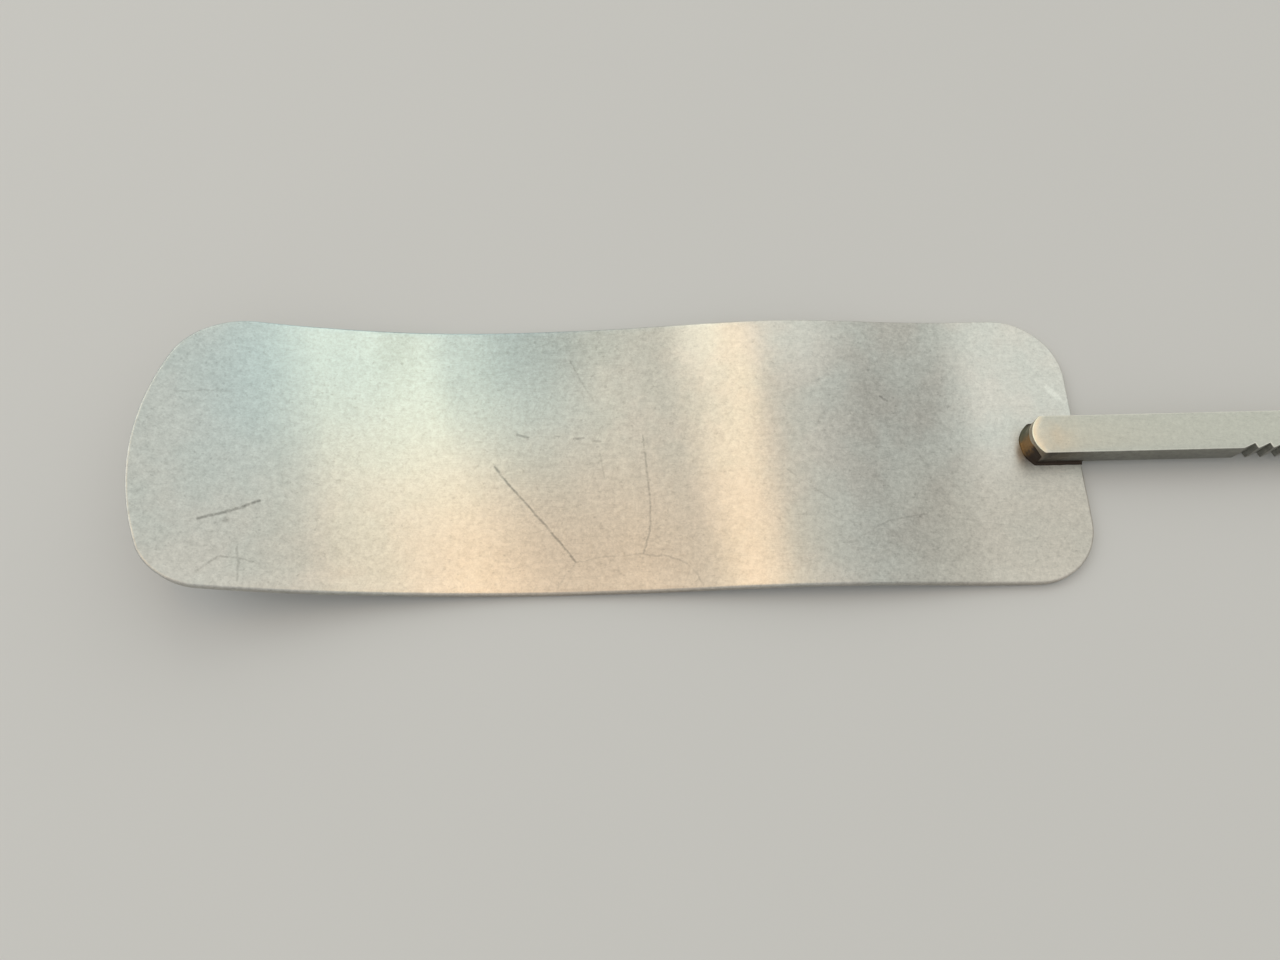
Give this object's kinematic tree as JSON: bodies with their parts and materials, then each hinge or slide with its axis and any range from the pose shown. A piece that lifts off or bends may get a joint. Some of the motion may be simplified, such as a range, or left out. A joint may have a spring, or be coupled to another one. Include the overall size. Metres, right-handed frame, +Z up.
{
  "type": "malleable retractor blade",
  "caption": "Long satin steel blade bent by hand into a shallow wave, brazed at its heel to a flat bar stem with saw-tooth ratchet notches along one edge.",
  "frame": {"origin": "under the centre of the whole part, on the surface it rests on", "axes": "+X along the blade and stem towards the stem's free end, +Y towards the stem's plain edge, +Z up from the surface that the blade rests on"},
  "size_m": [0.261, 0.047, 0.015],
  "materials": {
    "blade_steel": "satin annealed stainless sheet, fine mottled grain with light scratches",
    "stem_steel": "satin stainless bar, brushed along its length",
    "braze_metal": "dull straw to brown braze fillet"
  },
  "bodies": {
    "root": {"blade_plate": "blade_steel", "ratchet_stem": "stem_steel", "braze_joint": "braze_metal"}
  },
  "joints": []
}
